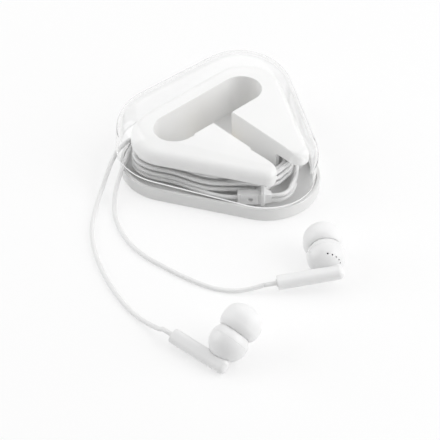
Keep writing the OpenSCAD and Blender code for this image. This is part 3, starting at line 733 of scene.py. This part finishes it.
# %% Sections of the body
BUD_R, BUD_HALF, BUD_WALL, SEAM = 6.55, 6.3, 1.0, 0.7
NOZZLE_R, NOZZLE_REACH, BORE_R, NECK_R, SEAT = 2.4, 10.4, 1.5, 3.2, 6.3
MESH_R, MESH_DEPTH, COLLAR_R, COLLAR_L = 1.95, 0.5, 2.55, 1.0
EASE = 0.1


def oval(z, inset=0.0):
    """Radius of the body's rounded form at a height along the nozzle's axis."""
    return (BUD_R - inset) * math.sqrt(max(0, 1 - (z / (BUD_HALF - inset)) ** 2))


def oval_height(r, inset=0.0):
    return (BUD_HALF - inset) * math.sqrt(max(0, 1 - (r / (BUD_R - inset)) ** 2))


def oval_points(z0, z1, inset=0.0, steps=18):
    half = BUD_HALF - inset
    a0, a1 = math.asin(z0 / half), math.asin(z1 / half)
    angles = [a0 + (a1 - a0) * i / steps for i in range(steps + 1)]
    return [((BUD_R - inset) * math.cos(a), half * math.sin(a)) for a in angles]


def turned(name, points, steps=64):
    """A piece turned on the Z axis from an outline of (radius, height) points in mm."""
    pencil = Pencil(name, points[0])
    pencil.line(*points[1:])
    bpy.ops.mesh.select_all(action="SELECT")
    sweep_turn((0, 0, 0), 360, steps)
    finish_mesh(pencil.piece)
    return pencil.piece


front_outline = ([(oval(SEAM) - EASE, SEAM)] + oval_points(SEAM + EASE, oval_height(NECK_R))
                 + [(NECK_R, SEAT - 0.15), (NECK_R - 0.15, SEAT), (NOZZLE_R, SEAT),
                    (NOZZLE_R, NOZZLE_REACH - COLLAR_L),
                    (COLLAR_R, NOZZLE_REACH - COLLAR_L + 0.1),
                    (COLLAR_R, NOZZLE_REACH - 0.2), (COLLAR_R - 0.2, NOZZLE_REACH),
                    (MESH_R, NOZZLE_REACH), (MESH_R, NOZZLE_REACH - MESH_DEPTH),
                    (BORE_R, NOZZLE_REACH - MESH_DEPTH)]
                 + oval_points(SEAM, oval_height(BORE_R, BUD_WALL), BUD_WALL)[::-1]
                 + [(oval(SEAM) - EASE, SEAM)])
rear_outline = (oval_points(-BUD_HALF, SEAM - EASE, steps=26) + [(oval(SEAM) - EASE, SEAM)]
                + oval_points(-BUD_HALF + BUD_WALL, SEAM, BUD_WALL)[::-1])

# %% Make both bodies
VENT_D, VENT_L, VENTS = 0.6, 3, 5
# The first vent's turn round the axis and tilt from it, and what each next one adds.
VENT_TURN, VENT_STEP, VENT_TILT, VENT_TILT_STEP = 96, 17, 122, 3.8
shells = {}
for (hand, matrix), mirrored in zip(BUDS.items(), (-1, 1)):
    front = turned(hand + "_front", front_outline)
    rear = turned(hand + "_rear", rear_outline)
    for i in range(VENTS):
        vent = tool_round(VENT_D / 2, VENT_L, (0, 0, BUD_R - 0.5), sides=16)
        way = mirrored * math.radians(VENT_TURN + VENT_STEP * i)
        lean = math.radians(VENT_TILT + VENT_TILT_STEP * i)
        vent.matrix_world = Matrix.Rotation(way, 4, "Z") @ Matrix.Rotation(lean, 4, "Y")
        cut_away(rear, vent)
    for piece, node in ((front, "_front_shell"), (rear, "_rear_shell")):
        place_at(piece, matrix)
        shade(piece, 35, False)
        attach(piece, "root")
        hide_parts(hand + node)
        shells[piece.name] = piece
        count(piece)


# %% [markdown]
# ## Stem
#
# The stem is a soft bar under the body: flat at the end where the cord comes in, rounded at
# the far end. Its section is drawn and pulled along, and each end is bevelled by its own
# width. The body's own form, a hair larger, is then cut out of it, so that the body sits in
# a shallow dish with a fine gap.

# %% Make both stems
STEM_W, STEM_T, STEM_HEAD, STEM_EDGE = 4.2, 5.1, 4.7, 1.9
END_ROUND, END_EASE, DISH_GAP = 1.7, 0.35, 0.06
GROMMET_R, GROMMET_L, GROMMET_GAP = 1.3, 2.2, 0.05


def bud_stem(hand, matrix):
    w, t = STEM_W / 2 - STEM_EDGE, STEM_T / 2 - STEM_EDGE
    bar = Pencil(hand + "_bar", (w, -t - STEM_EDGE), (STEM_REACH, 0, -STEM_BACK), (0, 1, 0))
    for x, y, way in ((w, -t, 0), (w, t, 90), (-w, t, 180), (-w, -t, 270)):
        start = Vector((x, y, 0)) + unit(way - 90) * STEM_EDGE
        bar.line(start.xy)
        bar.arc((x, y), 90, 8)
    bar.line((w, -t - STEM_EDGE))
    pull((-STEM_REACH - STEM_HEAD, 0, 0))
    bpy.ops.mesh.bevel(offset=END_ROUND * MM, segments=8, affect="EDGES")
    stem = bar.piece
    pick_faces(stem, lambda middle, normal: middle.x > STEM_REACH - 0.1)
    bpy.ops.mesh.bevel(offset=END_EASE * MM, segments=3, affect="EDGES")
    finish_mesh(stem)
    bpy.ops.object.select_all(action="DESELECT")
    bpy.ops.mesh.primitive_uv_sphere_add(segments=64, ring_count=32, radius=MM)
    dish = bpy.context.object
    dish.scale = (BUD_R + DISH_GAP, BUD_R + DISH_GAP, BUD_HALF + DISH_GAP)
    bpy.ops.object.transform_apply()
    cut_away(stem, dish)
    hole = tool_round(GROMMET_R + GROMMET_GAP, 2 * GROMMET_L, (STEM_REACH, 0, -STEM_BACK), "X")
    cut_away(stem, hole)
    place_at(stem, matrix)
    shade(stem, 40, True)
    return stem


stems = {}
for hand, matrix in BUDS.items():
    stems[hand] = bud_stem(hand, matrix)
    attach(stems[hand], "root")
    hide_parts(hand + "_stem")
    count(stems[hand])


# %% [markdown]
# ## Grommet
#
# A short rubber ring holds the cord in the stem's end. Its rim is rounded and its mouth is a
# little wider than the cord, so the cord can bend without being cut.

# %% Make both grommets
grommets = {}
bore = CORD / 2
ring_bore = bore + 0.02
ring_outline = [(ring_bore, -GROMMET_L), (GROMMET_R, -GROMMET_L),
                (GROMMET_R, GROMMET_PROUD - 0.2), (GROMMET_R - 0.06, GROMMET_PROUD - 0.06),
                (GROMMET_R - 0.2, GROMMET_PROUD), (bore + 0.2, GROMMET_PROUD),
                (bore + 0.06, GROMMET_PROUD - 0.08), (ring_bore, GROMMET_PROUD - 0.25),
                (ring_bore, -GROMMET_L)]
at_stem_end = (Matrix.Translation((STEM_REACH, 0, -STEM_BACK))
               @ Matrix.Rotation(math.radians(90), 4, "Y"))
for hand, matrix in BUDS.items():
    ring = turned(hand + "_cord_ring", ring_outline, 48)
    place_at(ring, matrix @ at_stem_end)
    shade(ring, 40, False)
    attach(ring, "root")
    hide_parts(hand + "_grommet")
    grommets[hand] = ring
    count(ring)


# %% [markdown]
# ## Ear tip
#
# The tip is one soft moulding: a dome over a tube that slides on the nozzle, open behind like
# a bell. Its section is drawn as a closed ring, along the dome, into the mouth, down the tube
# and back inside the thin skirt, and spun round. Each tip can be pulled off its nozzle.

# %% Make both ear tips
TIP_R, TIP_BELT, TIP_EDGE, TIP_REACH, TIP_WALL, TIP_MOUTH = 6.85, 6.7, 3.7, 13.2, 0.65, 1.9
TIP_CROWN, TUBE_WALL, DOME_POWER, SKIRT_POWER = 1.1, 0.7, 2.6, 2.2
TUBE_R = COLLAR_R + 0.05 + 0.05


def dome(u, radius):
    """Radius of the dome, from its widest place at 0 to its top at 1."""
    return radius * max(0.0, 1 - u ** DOME_POWER) ** (1 / DOME_POWER)


def skirt(u, radius, edge_radius):
    """Radius of the skirt, from its open edge at 0 to the widest place at 1."""
    return radius - (radius - edge_radius) * (1 - u) ** SKIRT_POWER


depth, inner_depth, tip_steps = TIP_REACH - TIP_BELT, TIP_REACH - TIP_BELT - TIP_CROWN, 26
edge_in, edge_t, skirt_l = oval(TIP_EDGE) + 0.02, 0.4 * TIP_WALL, TIP_BELT - TIP_EDGE
skirt_u = [(i + 0.5) / 14 for i in range(14)]
out_u = [0.92 * math.sin(math.pi / 2 * i / tip_steps) for i in range(tip_steps + 1)]
in_u = [0.86 * math.sin(math.pi / 2 * i / tip_steps) for i in range(tip_steps, -1, -1)]
tip_outline = ([(edge_in + edge_t * 0.5, TIP_EDGE), (edge_in + edge_t * 0.85, TIP_EDGE + 0.03)]
               + [(skirt(u, TIP_R, edge_in + edge_t), TIP_EDGE + skirt_l * u) for u in skirt_u]
               + [(dome(u, TIP_R), TIP_BELT + depth * u) for u in out_u]
               + [(TIP_MOUTH + 0.75, TIP_REACH - 0.05), (TIP_MOUTH + 0.4, TIP_REACH),
                  (TIP_MOUTH + 0.12, TIP_REACH - 0.12), (TIP_MOUTH, TIP_REACH - 0.4),
                  (TIP_MOUTH, NOZZLE_REACH + 0.3), (TUBE_R, NOZZLE_REACH + 0.3),
                  (TUBE_R, SEAT + 0.1), (TUBE_R + TUBE_WALL, SEAT + 0.1),
                  (TUBE_R + TUBE_WALL, TIP_BELT + inner_depth * 0.88)]
               + [(dome(u, TIP_R - TIP_WALL), TIP_BELT + inner_depth * u) for u in in_u]
               + [(skirt(u, TIP_R - TIP_WALL, edge_in), TIP_EDGE + skirt_l * u)
                  for u in skirt_u[::-1]]
               + [(edge_in + edge_t * 0.15, TIP_EDGE + 0.03), (edge_in + edge_t * 0.5, TIP_EDGE)])
tips = {}
for hand, matrix in BUDS.items():
    tip = turned(hand + "_tip", tip_outline, 72)
    place_at(tip, matrix)
    shade(tip, 40, False)
    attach(tip, hand + "_tip")
    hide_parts(hand + "_ear_tip")
    tips[hand] = tip
    count(tip)


# %% [markdown]
# ## Plug
#
# The plug lies in the stem of the slot. Its barrel and the ribbed strain relief are turned
# like the earbuds. The contacts and their insulating rings keep their CAD shapes, which are
# right as they are, and only get a finish.

# %% Make the barrel and the strain relief
BARREL_R, BARREL_L, RELIEF_L = 2.5, 11.5, 5.5
at_plug = Matrix.Translation(plug_end) @ Matrix.Rotation(math.radians(-90), 4, "X")


def rounded(r, z, radius, a0, a1, steps=5):
    """Points of a rounding about (r, z), from one angle to another in degrees."""
    angles = [math.radians(a0 + (a1 - a0) * i / steps) for i in range(steps + 1)]
    return [(r + radius * math.cos(a), z + radius * math.sin(a)) for a in angles]


barrel_end = RELIEF_L + BARREL_L
grip = RELIEF_L + BARREL_L * 0.7
barrel_outline = ([(0, RELIEF_L)] + rounded(BARREL_R - 0.5, RELIEF_L + 0.5, 0.5, -90, 0)
                  + [(BARREL_R, grip), (BARREL_R - 0.15, grip + 0.2),
                     (BARREL_R - 0.15, grip + 0.7), (BARREL_R, grip + 0.9)]
                  + rounded(BARREL_R - 0.3, barrel_end - 0.3, 0.3, 0, 90) + [(0, barrel_end)])
relief_outline = [(0, 0), (bore + 0.25, 0), (bore + 0.35, 0.1)]
for i in range(3):
    z, r = RELIEF_L * (i + 0.4) / 3.5, bore + 0.4 + 0.3 * i
    relief_outline += [(r - 0.08, z), (r, z + 0.1), (r, z + 0.6), (r - 0.08, z + 0.7),
                       (r - 0.25, z + 0.78), (r - 0.22, z + 1.1)]
relief_outline += [(BARREL_R - 0.7, RELIEF_L - 0.4), (BARREL_R - 0.7, RELIEF_L), (0, RELIEF_L)]
barrel, relief = turned("barrel", barrel_outline, 48), turned("strain_relief", relief_outline, 40)
for piece, node in ((barrel, "plug_barrel"), (relief, "plug_relief")):
    place_at(piece, at_plug)
    shade(piece, 40, False)
    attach(piece, "root")
    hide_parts(node)
    count(piece)


# %% [markdown]
# ## Finishes of the pieces
#
# The winder is a matt white moulding, the tray a cooler grey one, the earbuds are glossier,
# and the tips are silicone, which lets a little light into itself. The cover is clear
# plastic: light that only passes through it on its way to another surface goes straight on,
# because real clear plastic hardly shades what is under it. A thin band at the bottom of its
# rim is white and matt, a painted highlight for the bright line along the clear edge.

# %% Finishes
FINISHES = {
    "tray_plastic": moulded("tray_finish", (0.78, 0.78, 0.775), (0.75, 0.75, 0.745), 0.3),
    "winder_plastic": moulded("winder_finish", (0.9, 0.9, 0.895), (0.87, 0.87, 0.865), 0.5,
                              grain=0.4, relief=0.015, patch=16),
    "splitter_plastic": moulded("splitter_finish", (0.92, 0.92, 0.92), (0.89, 0.89, 0.89), 0.35),
    "shell_plastic": moulded("shell_finish", (0.86, 0.86, 0.86), (0.83, 0.83, 0.83), 0.28,
                             grain=0.3, relief=0.008, patch=8),
    "silicone": moulded("silicone_finish", (0.9, 0.9, 0.9), (0.87, 0.87, 0.87), 0.4, grain=0.5,
                        relief=0.006, Subsurface_Weight=0.3, Subsurface_Scale=0.001,
                        Subsurface_Radius=(1, 1, 1)),
    "grommet_rubber": moulded("rubber_finish", (0.78, 0.78, 0.78), (0.72, 0.72, 0.72), 0.55),
    "mesh_metal": moulded("mesh_finish", (0.6, 0.6, 0.6), (0.5, 0.5, 0.5), 0.35, Metallic=1.0),
    "driver_metal": moulded("driver_finish", (0.3, 0.3, 0.31), (0.25, 0.25, 0.26), 0.4,
                            Metallic=1.0),
    "magnet": moulded("magnet_finish", (0.55, 0.55, 0.57), (0.48, 0.48, 0.5), 0.3, Metallic=1.0),
    "diaphragm_film": moulded("film_finish", (0.7, 0.66, 0.5), (0.62, 0.58, 0.44), 0.3),
    "contact_metal": moulded("contact_finish", (0.83, 0.68, 0.36), (0.78, 0.62, 0.32), 0.22,
                             Metallic=1.0),
    "insulator": moulded("insulator_finish", (0.05, 0.05, 0.05), (0.03, 0.03, 0.03), 0.4),
}
wear(tray, FINISHES["tray_plastic"])
wear(winder, FINISHES["winder_plastic"])
for piece in (splitter, wedge):
    wear(piece, FINISHES["splitter_plastic"])
for piece in (*shells.values(), *stems.values(), barrel, relief):
    wear(piece, FINISHES["shell_plastic"])
for piece in grommets.values():
    wear(piece, FINISHES["grommet_rubber"])
for piece in tips.values():
    wear(piece, FINISHES["silicone"])

INNER = {"nozzle_mesh": "mesh_metal", "driver_frame": "driver_metal",
         "driver_magnet": "magnet", "diaphragm": "diaphragm_film"}
kept = {"plug_sleeve": "contact_metal", "plug_contacts": "contact_metal",
        "plug_insulators": "insulator"}
for hand in BUDS:
    kept.update({f"{hand}_{node}": slot for node, slot in INNER.items()})
for node, slot in kept.items():
    wear(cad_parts[node], FINISHES[slot])
print("CAD nodes kept with a new finish:", len(kept))

# %% Clear plastic
# Height and fade of the white band at the bottom of the rim, a painted highlight for the bright
# line along the clear edge.
LIP_HIGHLIGHT, LIP_FADE = 0.35, 0.6
clear = moulded("clear_finish", (0.985, 0.985, 0.985), (0.975, 0.975, 0.975), 0.02, grain=9,
                relief=0.001, patch=20, Transmission_Weight=1.0, IOR=1.3,
                Specular_IOR_Level=0.03)
nodes, link = clear.node_tree.nodes, clear.node_tree.links.new
passing = nodes.new("ShaderNodeBsdfTransparent")
passing.inputs["Color"].default_value = (1, 1, 1, 1)
ray = nodes.new("ShaderNodeLightPath")
either = nodes.new("ShaderNodeMath")
either.operation = "MAXIMUM"
blend = nodes.new("ShaderNodeMixShader")
link(ray.outputs["Is Shadow Ray"], either.inputs[0])
link(ray.outputs["Is Diffuse Ray"], either.inputs[1])
link(either.outputs[0], blend.inputs[0])
link(nodes["Principled BSDF"].outputs[0], blend.inputs[1])
link(passing.outputs[0], blend.inputs[2])

lip_up = nodes.new("ShaderNodeVectorMath")
lip_up.operation = "DOT_PRODUCT"
lip_up.inputs[1].default_value = tilt @ UP
edge = nodes.new("ShaderNodeMapRange")
lip_level = COVER_PLACE.dot(tilt @ UP) * MM
edge.inputs["From Min"].default_value = lip_level + LIP_HIGHLIGHT * MM
edge.inputs["From Max"].default_value = lip_level + LIP_HIGHLIGHT * LIP_FADE * MM
# The white diffuse shader of the rim's band is the painted highlight.
rim_highlight, lip = nodes.new("ShaderNodeBsdfDiffuse"), nodes.new("ShaderNodeMixShader")
rim_highlight.inputs["Color"].default_value = (0.95, 0.95, 0.95, 1)
link(nodes["Texture Coordinate"].outputs["Object"], lip_up.inputs[0])
link(lip_up.outputs["Value"], edge.inputs["Value"])
link(edge.outputs["Result"], lip.inputs[0])
link(blend.outputs[0], lip.inputs[1])
link(rim_highlight.outputs[0], lip.inputs[2])
link(lip.outputs[0], nodes["Material Output"].inputs["Surface"])
wear(cover, clear)
print("finish:", clear.name)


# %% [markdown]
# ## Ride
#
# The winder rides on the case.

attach(winder, "root")
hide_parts("cable_winder")


# %% [markdown]
# ## Floor and light
#
# The object lies on a plain white floor, with a large soft lamp high up behind it, a smaller
# one at each side and pale light from all round. Seen directly or through clear plastic, the
# floor is part white of its own, so that it runs into the white background and still keeps a
# soft shadow.

# %% Floor, world and lamps
OWN_WHITE, ROOM_LIGHT, ROOM_SEEN = 0.62, 0.34, 1.0
LAMPS_AIM = Vector((-0.02, -0.02, 0.01))
bpy.ops.object.select_all(action="DESELECT")
bpy.ops.mesh.primitive_plane_add(size=6)
floor = bpy.context.object
floor.name = "floor"


def seen_rays(nodes, link):
    """1 for rays from the camera, a reflection or a clear piece, and 0 for the rest."""
    ray = nodes.new("ShaderNodeLightPath")
    value = ray.outputs["Is Camera Ray"]
    for kind in ("Is Glossy Ray", "Is Transmission Ray"):
        either = nodes.new("ShaderNodeMath")
        either.operation = "MAXIMUM"
        link(value, either.inputs[0])
        link(ray.outputs[kind], either.inputs[1])
        value = either.outputs[0]
    return value


paper = bpy.data.materials.new("floor_paper")
paper.use_nodes = True
nodes, link = paper.node_tree.nodes, paper.node_tree.links.new
paper_shader = nodes["Principled BSDF"]
paper_shader.inputs["Base Color"].default_value = (0.96, 0.96, 0.96, 1)
paper_shader.inputs["Roughness"].default_value = 0.9
paper_shader.inputs["Specular IOR Level"].default_value = 0
glow, blend = nodes.new("ShaderNodeEmission"), nodes.new("ShaderNodeMixShader")
portion = nodes.new("ShaderNodeMath")
portion.operation = "MULTIPLY"
portion.inputs[1].default_value = OWN_WHITE
link(seen_rays(nodes, link), portion.inputs[0])
link(portion.outputs[0], blend.inputs[0])
link(paper_shader.outputs[0], blend.inputs[1])
link(glow.outputs[0], blend.inputs[2])
link(blend.outputs[0], nodes["Material Output"].inputs["Surface"])
floor.data.materials.append(paper)

world = bpy.data.worlds.new("pale_room")
world.use_nodes = True
bpy.context.scene.world = world
nodes, link = world.node_tree.nodes, world.node_tree.links.new
room = nodes.new("ShaderNodeMapRange")
room.inputs["To Min"].default_value = ROOM_LIGHT
room.inputs["To Max"].default_value = ROOM_SEEN
link(seen_rays(nodes, link), room.inputs["Value"])
nodes["Background"].inputs["Color"].default_value = (1, 1, 1, 1)
link(room.outputs["Result"], nodes["Background"].inputs["Strength"])


def lamp(name, turn, rise, away, size, watts):
    """A square soft lamp that looks at the object, placed by its turn, rise and distance in m.

    The turn is counted from the camera's side, positive towards the right of the picture."""
    data = bpy.data.lights.new(name, "AREA")
    data.shape, data.size, data.energy = "SQUARE", size, watts
    piece = bpy.data.objects.new(name, data)
    bpy.context.scene.collection.objects.link(piece)
    way = VIEW_TURN - math.pi / 2 + math.radians(turn)
    flat, height = away * math.cos(math.radians(rise)), away * math.sin(math.radians(rise))
    place = Vector((flat * math.cos(way), flat * math.sin(way), height))
    piece.location = place + LAMPS_AIM
    piece.rotation_euler = place.to_track_quat("Z", "Y").to_euler()


lamp("back_softbox", 165, 66, 1.0, 1.4, 4.6)
lamp("left_softbox", -98, 28, 0.9, 0.8, 3.4)
lamp("right_softbox", 76, 30, 0.9, 0.8, 5.0)


# %% [markdown]
# ## View transform
#
# Colours are shown as they are written. The dressed object may not outgrow the CAD
# model.

# %% Finish
bpy.context.scene.view_settings.view_transform = "Standard"
